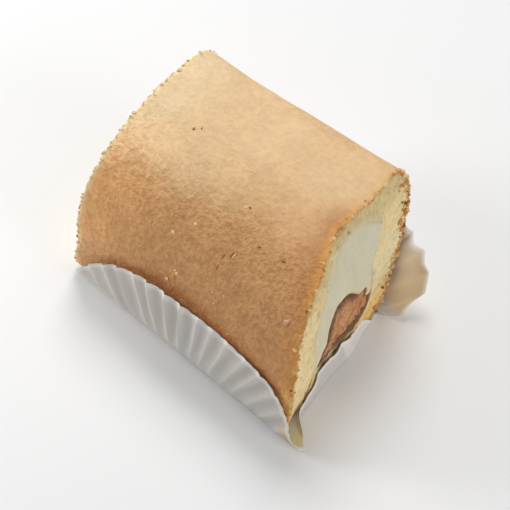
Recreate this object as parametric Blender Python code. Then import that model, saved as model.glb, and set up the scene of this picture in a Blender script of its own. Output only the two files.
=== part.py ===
"""A cut length of swiss roll cake lying in its fluted paper case.

The roll lies along X. One sheet of sponge turns once round a mound of brown filling and the
cream that arches over it, and all three run the whole length between two knife cuts. The case
is a fluted oval of paper, flat under the roll and pressed up against both of its long sides.
Sizes are in millimetres until a vertex is made, and the object is built in metres.
"""

import math

import bmesh
import bpy
import numpy as np
from mathutils import Vector

MM = 0.001
GAP = 0.35  # clear space between neighbouring solids

# Sections across the roll are leaning superellipses. "widest" is the point (y, z) at mid width.
# "across" is the half width. Each pair holds the value below and above the widest level.
SKIN = {"widest": (31.6, 22.0), "across": 28.4, "height": (21.3, 29.9), "lean": (0.10, 0.43),
        "power": (9.0, 2.8)}
HOLLOW = {"widest": (33.5, 26.0), "across": 16.5, "height": (19.6, 20.6), "lean": (0.02, 0.49),
          "power": (3.4, 2.2)}
LOBE = 4.6  # the hollow's upper back corner reaches further back, most of all at this height
LOBE_AT = 36.5
LEAN_START = 2.5  # the lean sets in gradually over this height
SAG = 1.4  # how much the foot of each wall spreads under the roll's own weight
TOP_SLOPE = 0.04  # rise of the top surface towards the back
FOOT_TUCK = 3.2  # towards the right cut the back wall is tucked in at its foot,
MIDDLE_BULGE = 12.2  # swells out above it
TOP_EASE = 2.6  # and comes in again a little at the top
BULGE_AT = 75  # the distance along X where these are reached

# The brown filling is a mound with three rounded corners round the heart of the roll.
HEART = (34.0, 14.5)
MOUND_RADIUS = 12.7
MOUND_CORNERS = 2.0
MOUND_TURN = math.radians(102)

# The cream arches over the mound and thins out to a lip at both of its feet.
CREAM_FRONT_FOOT = math.radians(192)
CREAM_BACK_FOOT = math.radians(2)
CREAM_LIP = 1.6
CREAM_GAP = 0.8  # between cream and sponge
CREAM_TAPER = math.radians(40)

# The sheet's two ends meet at a slanting seam under the front wall.
SEAM_AT_SKIN = math.radians(214)
SEAM_AT_HOLLOW = math.radians(203)
SEAM_GAP = math.radians(1.6)

# The two knife cuts: the distance along X at Y = Z = 0, and how it changes with Y and Z.
LEFT_CUT = {"x": 0.0, "per_y": -0.03, "per_z": 0.0}
RIGHT_CUT = {"x": 90.0, "per_y": -0.26, "per_z": -0.03}
TOP_LAG = 3.0  # the knife dragged the top of the right cut back, most of all at the front
SHOULDER_LAG = 1.9  # a little more has gone from the shoulder
FOOT_LAG = 3.3  # the bottom layer is a little short
CORNER_LAG = 3.0  # and so is the foremost corner
CORNER_AT = 7.0
CORNER_SIZE = (10.0, 6.0)
CREAM_RECESS = 0.5
FILLING_RECESS = 1.3

# The paper case, laid flat: an oval with an end that is folded up in front of the right cut.
PAPER_THICKNESS = 0.35
PAPER_CLEARANCE = 1.1
PAPER_MIDDLE = (46.0, 34.0)
PAPER_HALF_WIDTH = 56.4
PAPER_LEFT = -4.0
PAPER_RIGHT = 93.5
PAPER_RIGHT_PER_V = -0.1
PAPER_POWER = (2.5, 3.9)  # at the left and right ends
STRIP = (87.5, -0.2)  # the line of that fold,
STRIP_SWELL = 1.0  # which stands out a little in the middle
STRIP_FRONT = 8.0  # and runs out to the front corner
TURN_UP = 6.2  # how much paper is folded up
TURN_LEAN = math.radians(84)
TURN_PRESS = math.radians(14)  # its middle is pressed closer to the cake
# how the free back corner opens out and closes again: each is an amount, reached between two v
WING = ((8.0, 57.0, 60.5), (3.0, 62.0, 67.0), (-11.5, 66.5, 79.0), (-10.0, 78.0, 88.0))
TIP = 3.4  # the front corner is drawn out to a point, at v and with a width
TIP_AT = (1.6, 1.8)
WING_FLARE = 3.5
BACK_FLARE = 1.5
FLUTES = 56
FLUTE_DEPTH = 1.3
SCALLOP = 0.8
FOLD_AT = (18, 24, 27, 29, 31, 33, 35.5, 39, 44, 50)  # rings of the paper mesh, from the middle

SKIN_STEPS = 112
CREAM_STEPS = 72
FILLING_STEPS = 44
STATIONS = 7
RIM_STEPS = FLUTES * 2


def clear_scene():
    for old in list(bpy.data.objects):
        bpy.data.objects.remove(old)


def smoothstep(low, high, value):
    share = min(1.0, max(0.0, (value - low) / (high - low)))
    return share * share * (3 - 2 * share)


def outside(shape, y, z):
    """Above zero outside the section, below zero inside it."""
    level = z - shape["widest"][1]
    side = 1 if level > 0 else 0
    power = shape["power"][side]
    lean = shape["lean"][side] * level * abs(level) / (abs(level) + LEAN_START)
    across = y - shape["widest"][0] - lean
    return abs(across / shape["across"]) ** power + abs(level / shape["height"][side]) ** power - 1


def edge(shape, angle):
    """The point (y, z) of the section seen from the roll's heart at an angle above +Y."""
    low, high = 0.0, 60.0
    for _ in range(40):
        reach = (low + high) / 2
        y, z = HEART[0] + reach * math.cos(angle), HEART[1] + reach * math.sin(angle)
        if outside(shape, y, z) > 0:
            high = reach
        else:
            low = reach
    return HEART[0] + low * math.cos(angle), HEART[1] + low * math.sin(angle)


def skin(angle):
    """The roll's outer surface: spread at the foot and rising a little towards the back."""
    y, z = edge(SKIN, angle)
    middle_y, middle_z = SKIN["widest"]
    below, above = max(0.0, 1 - z / middle_z), max(0.0, z / middle_z - 1)
    y += math.copysign(SAG * below * below, y - middle_y) * min(1.0, abs(y - middle_y) / 20)
    z += TOP_SLOPE * above * (y - middle_y)
    return y, max(z, PAPER_THICKNESS + GAP)


def hollow(angle):
    """The sponge's inner surface, with its lobe."""
    y, z = edge(HOLLOW, angle)
    return y + LOBE * math.exp(-(((z - LOBE_AT) / 5.5) ** 2)) * smoothstep(40, 50, y), z


def towards(point, target, distance):
    """point moved by distance towards target."""
    dy, dz = target[0] - point[0], target[1] - point[1]
    length = math.hypot(dy, dz)
    return point[0] + dy * distance / length, point[1] + dz * distance / length


def left_x(y, z):
    return LEFT_CUT["x"] + LEFT_CUT["per_y"] * y + LEFT_CUT["per_z"] * z


def right_x(y, z):
    x = RIGHT_CUT["x"] + RIGHT_CUT["per_y"] * y + RIGHT_CUT["per_z"] * z
    x -= TOP_LAG * smoothstep(24, 56, z) * (1 - 0.5 * smoothstep(36, 60, y))
    x -= SHOULDER_LAG * math.exp(-(((y - 38) / 12) ** 2)) * smoothstep(34, 50, z)
    x -= FOOT_LAG * math.exp(-(((y - 26) / 17) ** 2)) * (1 - smoothstep(4, 20, z))
    away_y, away_z = (y - CORNER_AT) / CORNER_SIZE[0], z / CORNER_SIZE[1]
    return x - CORNER_LAG * math.exp(-(away_y**2) - away_z**2)


def station(share, point, recess=0.0):
    """A section point placed along X, from the left cut to the right cut."""
    y, z = point
    left, right = left_x(y, z) + recess, right_x(y, z) - recess
    # the shape of the right cut is soon lost away from it
    straight = RIGHT_CUT["x"] + RIGHT_CUT["per_y"] * y
    bend = (right - straight) * smoothstep(0.5, 1.0, share)
    return Vector((left + share * (straight - left) + bend, y, z))


def swell(x, angle):
    """Slow unevenness of the skin along the roll, outward."""
    return 0.35 * math.sin(0.075 * x + 3 * angle) + 0.25 * math.sin(0.13 * x - 5 * angle + 1.0)


def bulge(x, y, z):
    """How far the back wall is pushed out, more and more towards the right cut."""
    out = MIDDLE_BULGE * smoothstep(0, 25, z) - FOOT_TUCK - TOP_EASE * smoothstep(34, 50, z)
    return out * x / BULGE_AT * smoothstep(28, 60, y)


def sponge_section(share):
    """The sheet: its line along the skin, and its line along the hollow."""
    outer, inner = [], []
    span = 2 * math.pi - SEAM_GAP
    for step in range(SKIN_STEPS + 1):
        turned = SEAM_GAP / 2 + span * step / SKIN_STEPS
        angle = SEAM_AT_SKIN - turned
        point = skin(angle)
        x = station(share, point).x
        lift = swell(x, angle) * smoothstep(2.0, 12.0, point[1])
        y, z = towards(point, HEART, -lift)
        outer.append(station(share, (y + bulge(x, y, z), z)))
        inner.append(station(share, hollow(SEAM_AT_HOLLOW - turned)))
    return outer, inner


def cream_foot(angle):
    """0 at either foot of the cream, and 1 over the rest of the arch."""
    front = smoothstep(0, CREAM_TAPER, CREAM_FRONT_FOOT - angle)
    back = smoothstep(0, CREAM_TAPER, angle - CREAM_BACK_FOOT)
    return front * back


def mound(angle):
    """The filling's outline, under the cream and down to the sponge below it."""
    wall = towards(hollow(angle), HEART, GAP)
    if not CREAM_BACK_FOOT <= angle <= CREAM_FRONT_FOOT:
        return wall
    reach = MOUND_RADIUS + MOUND_CORNERS * math.cos(3 * (angle - MOUND_TURN))
    lip = math.dist(wall, HEART) - CREAM_LIP - GAP
    reach = min(lip, lip + (reach - lip) * cream_foot(angle))
    return HEART[0] + reach * math.cos(angle), HEART[1] + reach * math.sin(angle)


def cream_section(share):
    """The arch: its line under the sponge, and its line over the filling."""
    outer, inner = [], []
    for step in range(CREAM_STEPS + 1):
        angle = CREAM_FRONT_FOOT + (CREAM_BACK_FOOT - CREAM_FRONT_FOOT) * step / CREAM_STEPS
        point = towards(hollow(angle), HEART, CREAM_GAP)
        outer.append(station(share, point, CREAM_RECESS))
        inner.append(station(share, towards(mound(angle), HEART, -GAP), CREAM_RECESS))
    return outer, inner


def filling_section(share):
    arch = CREAM_FRONT_FOOT - CREAM_BACK_FOOT
    under, step_aside = 2 * math.pi - arch, math.radians(1.5)
    covered = FILLING_STEPS * 2 // 3
    angles = [CREAM_FRONT_FOOT - arch * i / covered for i in range(covered + 1)]
    bare = FILLING_STEPS - covered
    for i in range(bare):
        part = (under - 2 * step_aside) * i / (bare - 1)
        angles.append(CREAM_BACK_FOOT - step_aside - part)
    return [station(share, mound(angle), FILLING_RECESS) for angle in angles]


def band_solid(name, section_at):
    """A solid along X with a section that lies between an outer and an inner line."""
    shape = bmesh.new()
    rows = []
    for number in range(STATIONS):
        outer, inner = section_at(number / (STATIONS - 1))
        rows.append([[shape.verts.new(p * MM) for p in line] for line in (outer, inner)])
    count = len(rows[0][0])
    for row, after in zip(rows, rows[1:]):
        ring, ring_after = row[0] + row[1][::-1], after[0] + after[1][::-1]
        for i in range(2 * count):
            j = (i + 1) % (2 * count)
            shape.faces.new((ring[i], ring[j], ring_after[j], ring_after[i]))
    for outer, inner in (rows[0], rows[-1]):
        for i in range(count - 1):
            shape.faces.new((outer[i], outer[i + 1], inner[i + 1], inner[i]))
    return finish_solid(name, shape)


def heart_solid(name, section_at):
    """A solid along X with a section that is closed round the roll's heart."""
    shape = bmesh.new()
    rings = []
    for number in range(STATIONS):
        line = section_at(number / (STATIONS - 1))
        rings.append([shape.verts.new(p * MM) for p in line])
    count = len(rings[0])
    for ring, after in zip(rings, rings[1:]):
        for i in range(count):
            j = (i + 1) % count
            shape.faces.new((ring[i], ring[j], after[j], after[i]))
    for share, ring in ((0, rings[0]), (1, rings[-1])):
        hub = shape.verts.new(station(share, HEART, FILLING_RECESS) * MM)
        for i in range(count):
            shape.faces.new((ring[i], ring[(i + 1) % count], hub))
    return finish_solid(name, shape)


def finish_solid(name, shape):
    bmesh.ops.recalc_face_normals(shape, faces=shape.faces)
    mesh = bpy.data.meshes.new(name)
    shape.to_mesh(mesh)
    shape.free()
    solid = bpy.data.objects.new(name, mesh)
    bpy.context.scene.collection.objects.link(solid)
    mesh.shade_smooth()
    mesh.set_sharp_from_angle(angle=math.radians(40))
    return solid


def wrap_lines():
    """The lines that the paper follows under the roll and up its two sides."""
    lines = []
    for way in (-1, 1):
        points = [(PAPER_MIDDLE[1], PAPER_THICKNESS / 2)]
        for step in range(700):
            y, z = skin(-math.pi / 2 + way * math.radians(30 + 0.2 * step))
            away = towards((y, z), SKIN["widest"], -PAPER_CLEARANCE)
            y = y + way * PAPER_CLEARANCE * smoothstep(0, 3, z)
            points.append((y, max(away[1] - 0.9, PAPER_THICKNESS / 2)))
        line = np.array(points)
        length = np.concatenate([[0], np.cumsum(np.hypot(*np.diff(line, axis=0).T))])
        lines.append((length, line))
    return lines


def wrapped(v, lift, lines):
    """Where a point of the flat case lies once it is wrapped, moved outward by lift."""
    side = -1 if v < PAPER_MIDDLE[1] else 1
    length, line = lines[0] if side < 0 else lines[1]
    reach = abs(v - PAPER_MIDDLE[1])
    y, z = (float(np.interp(reach, length, line[:, i])) for i in (0, 1))
    next_y, next_z = (float(np.interp(reach + 1, length, line[:, i])) for i in (0, 1))
    size = math.hypot(next_y - y, next_z - z)
    return y + side * abs(next_z - z) / size * lift, z - side * (next_y - y) / size * lift


def fold_line(v):
    """Where the sheet is folded up in front of the right cut, and how far the wing opens."""
    opened = sum(out * smoothstep(start, end, v) for out, start, end in WING)
    opened += STRIP_FRONT * (1 - smoothstep(1, 11, v))
    opened += STRIP_SWELL * math.exp(-(((v - 37) / 7) ** 2))
    return STRIP[0] + STRIP[1] * v + opened


def turned_up(v):
    return TURN_UP * smoothstep(0, 26, v) * (1 - smoothstep(42, 56, v))


def flat_rim(turn):
    """The rim of the case laid flat: (x, v)."""
    angle = 2 * math.pi * turn
    cosine, sine = math.cos(angle), math.sin(angle)
    power = 2 / PAPER_POWER[1 if cosine > 0 else 0]
    v = PAPER_MIDDLE[1] + PAPER_HALF_WIDTH * math.copysign(abs(sine) ** power, sine)
    right = PAPER_RIGHT + PAPER_RIGHT_PER_V * v
    middle, half = (right + PAPER_LEFT) / 2, (right - PAPER_LEFT) / 2
    x = middle + half * math.copysign(abs(cosine) ** power, cosine)
    x = min(x, fold_line(v) + turned_up(v))
    return x + TIP * math.exp(-(((v - TIP_AT[0]) / TIP_AT[1]) ** 2)) * smoothstep(80, 90, x), v


def even_rim():
    """Rim points at equal distances, so that every flute is as wide as the next."""
    fine = np.array([flat_rim(i / 2400) for i in range(2401)])
    length = np.concatenate([[0], np.cumsum(np.hypot(*np.diff(fine, axis=0).T))])
    at = np.linspace(0, length[-1], RIM_STEPS, endpoint=False)
    return [(float(np.interp(d, length, fine[:, 0])), float(np.interp(d, length, fine[:, 1])))
            for d in at]


def ring_shares(rim):
    """Shares of the way from the middle to the rim, closest where the paper folds."""
    far = max(1.0, abs(rim[1] - PAPER_MIDDLE[1]))
    count = len(FOLD_AT)
    shares = [min(at / far, (i + 3) / (count + 3)) for i, at in enumerate(FOLD_AT)]
    if turned_up(rim[1]) > 0.3:  # the last ring but one runs along the fold
        share = 1.0
        for _ in range(3):
            v = PAPER_MIDDLE[1] + (rim[1] - PAPER_MIDDLE[1]) * share
            share = (fold_line(v) - PAPER_MIDDLE[0]) / (rim[0] - PAPER_MIDDLE[0])
        shares[-1] = min(0.99, max(share, shares[-2] + 0.01))
    return shares + [1.0]


def paper_point(rim, share, crest, lines):
    scallop = SCALLOP * (0.5 if crest else -0.5) * smoothstep(0.8, 1.0, share)
    reach = share + scallop / PAPER_HALF_WIDTH
    x = PAPER_MIDDLE[0] + (rim[0] - PAPER_MIDDLE[0]) * reach
    v = PAPER_MIDDLE[1] + (rim[1] - PAPER_MIDDLE[1]) * reach
    height = wrapped(v, 0, lines)[1]
    depth = FLUTE_DEPTH * smoothstep(0.55, 1.0, share) * smoothstep(0.5, 9.0, height)
    y, z = wrapped(v, depth if crest else 0, lines)
    y += bulge(x, y, z)
    if v > PAPER_MIDDLE[1]:
        y += BACK_FLARE * smoothstep(0, 20, height)
        y += WING_FLARE * smoothstep(64, 84, x) * smoothstep(0, 9, height)
    over = max(0.0, x - fold_line(v)) * smoothstep(0, 1, turned_up(v))
    lean = TURN_LEAN - TURN_PRESS * math.exp(-(((v - 31) / 8) ** 2))
    lean += 0.03 if crest else -0.03
    return Vector((x - over * (1 + math.cos(lean)), y, z + over * math.sin(lean)))


def paper_case(name):
    lines = wrap_lines()
    shape = bmesh.new()
    hub = shape.verts.new(Vector((*PAPER_MIDDLE, PAPER_THICKNESS / 2)) * MM)
    spokes = []
    for i, rim in enumerate(even_rim()):
        points = [paper_point(rim, share, i % 2 == 0, lines) for share in ring_shares(rim)]
        spokes.append([shape.verts.new(p * MM) for p in points])
    for i, spoke in enumerate(spokes):
        after = spokes[(i + 1) % RIM_STEPS]
        shape.faces.new((hub, spoke[0], after[0]))
        for k in range(len(spoke) - 1):
            shape.faces.new((spoke[k], spoke[k + 1], after[k + 1], after[k]))
    case = finish_solid(name, shape)
    wall = case.modifiers.new("paper", "SOLIDIFY")
    wall.thickness = PAPER_THICKNESS * MM
    wall.offset = 0.0
    return case


def centre_on_footprint(solids):
    """Puts the origin under the middle of everything, level with the lowest point."""
    bpy.context.view_layer.update()
    seen = bpy.context.evaluated_depsgraph_get()
    corners = [Vector(c) for solid in solids for c in solid.evaluated_get(seen).bound_box]
    low = Vector([min(c[i] for c in corners) for i in range(3)])
    high = Vector([max(c[i] for c in corners) for i in range(3)])
    shift = Vector((-(low.x + high.x) / 2, -(low.y + high.y) / 2, -low.z))
    for solid in solids:
        solid.location = shift


def add_material(solid, colour, roughness):
    material = bpy.data.materials.new(solid.name + "_finish")
    material.use_nodes = True
    shader = material.node_tree.nodes["Principled BSDF"]
    shader.inputs["Base Color"].default_value = (*colour, 1.0)
    shader.inputs["Roughness"].default_value = roughness
    shader.inputs["Metallic"].default_value = 0.0
    solid.data.materials.append(material)


def main():
    clear_scene()
    sponge = band_solid("sponge_sheet", sponge_section)
    cream = band_solid("cream_layer", cream_section)
    filling = heart_solid("brown_filling", filling_section)
    case = paper_case("paper_case")
    add_material(sponge, (0.78, 0.52, 0.27), 0.75)
    add_material(cream, (0.80, 0.76, 0.62), 0.45)
    add_material(filling, (0.33, 0.15, 0.07), 0.5)
    add_material(case, (0.80, 0.78, 0.74), 0.65)
    centre_on_footprint([sponge, cream, filling, case])


main()
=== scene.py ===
import itertools
import math

import bmesh
import bpy
import numpy as np
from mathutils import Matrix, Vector


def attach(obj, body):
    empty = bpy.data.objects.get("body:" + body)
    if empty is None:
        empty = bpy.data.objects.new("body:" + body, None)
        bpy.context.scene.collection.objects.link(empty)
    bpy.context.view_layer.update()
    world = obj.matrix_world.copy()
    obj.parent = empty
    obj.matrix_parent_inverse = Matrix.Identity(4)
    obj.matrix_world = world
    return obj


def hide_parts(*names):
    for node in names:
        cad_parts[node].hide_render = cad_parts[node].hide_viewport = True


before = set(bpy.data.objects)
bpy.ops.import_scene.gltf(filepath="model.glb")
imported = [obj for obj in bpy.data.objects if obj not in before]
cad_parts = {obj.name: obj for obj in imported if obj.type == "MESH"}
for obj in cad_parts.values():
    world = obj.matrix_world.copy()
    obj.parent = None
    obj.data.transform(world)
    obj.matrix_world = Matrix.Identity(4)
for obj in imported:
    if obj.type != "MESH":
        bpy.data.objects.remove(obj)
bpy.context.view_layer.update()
scene = bpy.context.scene
print("frame loaded")

mm = 0.001
rowShift = np.array((-45.2708, -36.557, 0.0))  # from the roll's own corner to the row's origin


# small helpers
def smooth(low, high, value):
    # 0 to 1 as value goes from low to high
    part = np.clip((value - low) / (high - low), 0.0, 1.0)
    return part * part * (3 - 2 * part)


def hump(value, size, at=0.0):
    # 1 in the middle, and less over about size on both sides
    return np.exp(-(((value - at) / size) ** 2))


def unit(rows):
    return rows / np.linalg.norm(rows, axis=1)[:, None]


def along(line):
    # distance covered at each point of a line
    return np.concatenate([[0], np.cumsum(np.linalg.norm(np.diff(line, axis=0), axis=1))])


def mix(a, b, part):
    return a + (b - a) * part


def linear(*rgb):
    c = np.asarray(rgb, float) / 255
    return np.where(c <= 0.04045, c / 12.92, ((c + 0.055) / 1.055) ** 2.4)


def tonesOf(values):
    return {name[:-4]: linear(*rgb) for name, rgb in values.items() if name.endswith("Tone")}


def laid(tone, tones, **layers):
    # each layer's tone over what is below it, by its share
    for name, share in layers.items():
        tone = mix(tone, tones[name], share[:, None])
    return tone


latticeSize = 64
lattice = np.random.default_rng(11).uniform(-1, 1, (latticeSize, latticeSize, latticeSize))


def noise(points, size, seed, octaves=2):
    # smooth value noise, about -1 to 1, with features about size across
    total, strength, reach = 0.0, 1.0, 0.0
    for octave in range(octaves):
        spot = np.asarray(points, float) / size * 2**octave + 9.173 * seed + 5.7 * octave
        cell = np.floor(spot).astype(np.int64)
        part = spot - cell
        part = part * part * (3 - 2 * part)
        value = 0.0
        for corner in itertools.product((0, 1), repeat=3):
            weight = 1.0
            for k in range(3):
                weight = weight * (part[:, k] if corner[k] else 1 - part[:, k])
            at = (cell + corner) & (latticeSize - 1)
            value = value + weight * lattice[at[:, 0], at[:, 1], at[:, 2]]
        total = total + strength * value
        reach += strength
        strength *= 0.5
    return total / reach * 1.6


def cells(points, size, seed):
    # distance to the nearest of some scattered centres, the gap to the second, and a cell number
    spot = np.asarray(points, float) / size + 3.71 * seed
    cell = np.floor(spot).astype(np.int64)
    first, second = np.full(len(spot), 9.0), np.full(len(spot), 9.0)
    name = np.zeros(len(spot))
    for step in itertools.product((-1, 0, 1), repeat=3):
        at = (cell + step) & (latticeSize - 1)
        jitter = np.stack([lattice[tuple(np.roll(at, -k, axis=1).T)] for k in range(3)], 1)
        away = np.linalg.norm(spot - (cell + step + 0.5 + 0.45 * jitter), axis=1)
        closer = away < first
        second = np.where(closer, first, np.minimum(second, away))
        name = np.where(closer, lattice[at[:, 2], at[:, 0], at[:, 1]], name)
        first = np.where(closer, away, first)
    return first * size, (second - first) * size, name


def makeMesh(name, points, polygons):
    # points in mm in the roll's own axes, and faces as rows of corners
    mesh = bpy.data.meshes.new(name)
    moved = (np.asarray(points) + rowShift) * mm
    mesh.vertices.add(len(moved))
    mesh.vertices.foreach_set("co", moved.ravel())
    faces = np.asarray(polygons, np.int32)
    mesh.loops.add(faces.size)
    mesh.loops.foreach_set("vertex_index", faces.ravel())
    mesh.polygons.add(len(faces))
    starts = np.arange(0, faces.size, faces.shape[1], dtype=np.int32)
    mesh.polygons.foreach_set("loop_start", starts)
    mesh.update(calc_edges=True)
    mesh.validate()
    piece = bpy.data.objects.new(name, mesh)
    scene.collection.objects.link(piece)
    mesh.shade_smooth()
    return piece


def paint(piece, name, colours):
    # a linear colour for each vertex
    layer = piece.data.color_attributes.new(name, "FLOAT_COLOR", "POINT")
    full = np.ones((len(colours), 4))
    full[:, :3] = np.clip(colours, 0, 1)
    layer.data.foreach_set("color", full.ravel())


class Grids:
    # grids of points that are sewn together along the edges they share
    stepsPerMm = 2000  # points that round to the same step are one

    def __init__(self):
        self.points, self.faces, self.marks, self.count = [], [], [], 0

    def add(self, points, mark=0, flip=False):
        rows, columns = points.shape[:2]
        index = np.arange(rows * columns).reshape(rows, columns) + self.count
        quad = np.stack([index[:-1, :-1], index[:-1, 1:], index[1:, 1:], index[1:, :-1]], -1)
        quad = quad.reshape(-1, 4)
        self.points.append(points.reshape(-1, points.shape[-1]))
        self.faces.append(quad[:, ::-1] if flip else quad)
        self.marks.append(np.full(len(quad), mark))
        self.count += rows * columns

    def sewn(self):
        # everything after the first three columns is carried along with its point
        points, faces = np.concatenate(self.points), np.concatenate(self.faces)
        marks = np.concatenate(self.marks)
        key = np.round(points[:, :3] * self.stepsPerMm).astype(np.int64)
        _, first, where = np.unique(key, axis=0, return_index=True, return_inverse=True)
        faces = where.reshape(-1)[faces]
        ok = np.ones(len(faces), bool)
        for i, j in itertools.combinations(range(4), 2):
            ok &= faces[:, i] != faces[:, j]
        return points[first], faces[ok], marks[ok]


def spread(u, v, w):
    # the three in one shape, each laid out as a row
    shape = np.broadcast_shapes(np.shape(u), np.shape(v), np.shape(w))
    return shape, *(np.broadcast_to(k, shape).ravel() for k in (u, v, w))


def bentBar(at, u, v, w, inside, kind=0):
    # a bar's six sides, where at gives its points: outside, inside, both ends and both edges
    grid = Grids()
    grid.add(at(u[:, None], 0.0, w[None, :]), 0)
    grid.add(at(u[:, None], 1.0, inside[None, :]), kind, True)
    for end, flip in ((1.0, False), (0.0, True)):
        grid.add(at(u[:, None], v[None, :], end), kind, flip)
    for edge, flip in ((0.0, False), (1.0, True)):
        grid.add(at(edge, v[:, None], w[None, :]), kind, flip)
    return grid.sewn()


def between(a, b, count, ends=0.0):
    # count numbers from a to b, closer together near both ends when ends is above 0
    part = np.linspace(0, 1, count)
    return a + (b - a) * (part - ends * np.sin(2 * math.pi * part) / (2 * math.pi))


# the roll's shape, as in the frame
roll = {
    "skin": {"widest": (31.6, 22.0), "across": 28.4, "height": (21.3, 29.9), "lean": (0.10, 0.43),
             "power": (9.0, 2.8)},
    "hollow": {"widest": (33.5, 26.0), "across": 16.5, "height": (19.6, 20.6), "lean": (0.02, 0.49),
               "power": (3.4, 2.2)},
    "leanStart": 2.5, "sag": 1.4, "sagWidth": 20, "topSlope": 0.04, "floor": 0.7,
    "lobe": 4.6, "lobeAt": 36.5, "lobeSize": 5.5, "lobeStart": (40, 50),
    "footTuck": 3.2, "middleBulge": 12.2, "topEase": 2.6, "bulgeAt": 75,
    "bulgeRise": (0, 25), "easeStart": (34, 50), "bulgeStart": (28, 60),
    "heart": (34.0, 14.5),
    "moundRadius": 12.7, "moundCorners": 2.0, "moundTurn": 102, "moundGap": 0.35,
    "creamFrontFoot": 192, "creamBackFoot": 2, "creamLip": 1.6, "creamTaper": 40,
    "seamAtSkin": 214, "seamAtHollow": 203, "seamGap": 1.6,
    "leftCut": (0.0, -0.03, 0.0), "rightCut": (90.0, -0.26, -0.03),
    # the right cut is held back behind its plane at the top, foot, shoulder and front corner
    "topLag": 3.0, "topLagHeight": (24, 56), "topLagDepth": (36, 60),
    "footLag": 3.3, "footSize": 17, "footAt": 26, "footHeight": (4, 20),
    "shoulderLag": 1.9, "shoulderSize": 12, "shoulderAt": 38, "shoulderHeight": (34, 50),
    "cornerLag": 3.0, "cornerAt": 7.0, "cornerSize": (10.0, 6.0),
}
heart = np.array(roll["heart"])
backFoot, frontFoot = math.radians(roll["creamBackFoot"]), math.radians(roll["creamFrontFoot"])


def outside(shape, y, z):
    level = z - shape["widest"][1]
    power, height, lean = (np.where(level > 0, shape[name][1], shape[name][0])
                           for name in ("power", "height", "lean"))
    lean = lean * level * np.abs(level) / (np.abs(level) + roll["leanStart"])
    across = y - shape["widest"][0] - lean
    return np.abs(across / shape["across"]) ** power + np.abs(level / height) ** power - 1


def fromHeart(angle, reach):
    return heart + reach[:, None] * np.stack([np.cos(angle), np.sin(angle)], -1)


def edgeAt(shape, angle):
    # halves the reach from the heart until it meets the shape's edge
    low, high = np.zeros_like(angle), np.full_like(angle, 60.0)
    for _ in range(40):
        reach = (low + high) / 2
        out = outside(shape, *fromHeart(angle, reach).T) > 0
        high, low = np.where(out, reach, high), np.where(out, low, reach)
    return fromHeart(angle, low)


def skinAt(angle):
    y, z = edgeAt(roll["skin"], angle).T
    middleY, middleZ = roll["skin"]["widest"]
    below, above = np.maximum(0, 1 - z / middleZ), np.maximum(0, z / middleZ - 1)
    sag = np.minimum(1, np.abs(y - middleY) / roll["sagWidth"])
    y = y + np.sign(y - middleY) * roll["sag"] * below**2 * sag
    z = z + roll["topSlope"] * above * (y - middleY)
    return np.stack([y, np.maximum(z, roll["floor"])], -1)


def hollowAt(angle):
    # the inner surface of the sponge, which reaches further back near its top
    point = edgeAt(roll["hollow"], angle)
    lobe = roll["lobe"] * hump(point[:, 1], roll["lobeSize"], roll["lobeAt"])
    point[:, 0] += lobe * smooth(*roll["lobeStart"], point[:, 0])
    return point


def leftX(y, z):
    start, perY, perZ = roll["leftCut"]
    return start + perY * y + perZ * z


def rightX(y, z):
    start, perY, perZ = roll["rightCut"]
    x = start + perY * y + perZ * z
    ease = 1 - 0.5 * smooth(*roll["topLagDepth"], y)
    foot = hump(y, roll["footSize"], roll["footAt"])
    shoulder = hump(y, roll["shoulderSize"], roll["shoulderAt"])
    x = x - roll["topLag"] * smooth(*roll["topLagHeight"], z) * ease
    x = x - roll["footLag"] * foot * (1 - smooth(*roll["footHeight"], z))
    x = x - roll["shoulderLag"] * shoulder * smooth(*roll["shoulderHeight"], z)
    awayY, awayZ = (y - roll["cornerAt"]) / roll["cornerSize"][0], z / roll["cornerSize"][1]
    return x - roll["cornerLag"] * np.exp(-(awayY**2) - awayZ**2)


def stationX(share, y, z, recess=0.0):
    # the place along the roll at a share of the way between its two cuts
    left, right = leftX(y, z) + recess, rightX(y, z) - recess
    straight = roll["rightCut"][0] + roll["rightCut"][1] * y
    return left + share * (straight - left) + (right - straight) * smooth(0.5, 1.0, share)


def swell(x, angle):
    return 0.35 * np.sin(0.075 * x + 3 * angle) + 0.25 * np.sin(0.13 * x - 5 * angle + 1.0)


def bulge(x, y, z):
    # the back wall swells out towards the right end
    out = roll["middleBulge"] * smooth(*roll["bulgeRise"], z) - roll["footTuck"]
    out = out - roll["topEase"] * smooth(*roll["easeStart"], z)
    return out * x / roll["bulgeAt"] * smooth(*roll["bulgeStart"], y)


def creamFoot(angle):
    taper = math.radians(roll["creamTaper"])
    return smooth(0, taper, frontFoot - angle) * smooth(0, taper, angle - backFoot)


def moundAt(angle):
    # the filling's outline: under the cream, and down to the sponge below it
    wall = np.linalg.norm(hollowAt(angle) - heart, axis=1) - roll["moundGap"]
    turned = angle - math.radians(roll["moundTurn"])
    reach = roll["moundRadius"] + roll["moundCorners"] * np.cos(3 * turned)
    lip = wall - roll["creamLip"] - roll["moundGap"]
    covered = (angle >= backFoot) & (angle <= frontFoot)
    reach = np.where(covered, np.minimum(lip, mix(lip, reach, creamFoot(angle))), wall)
    return fromHeart(angle, reach)


def toCuts(x, y, z):
    # distances to the left and the right cut
    return x - leftX(y, z), rightX(y, z) - x


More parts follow.
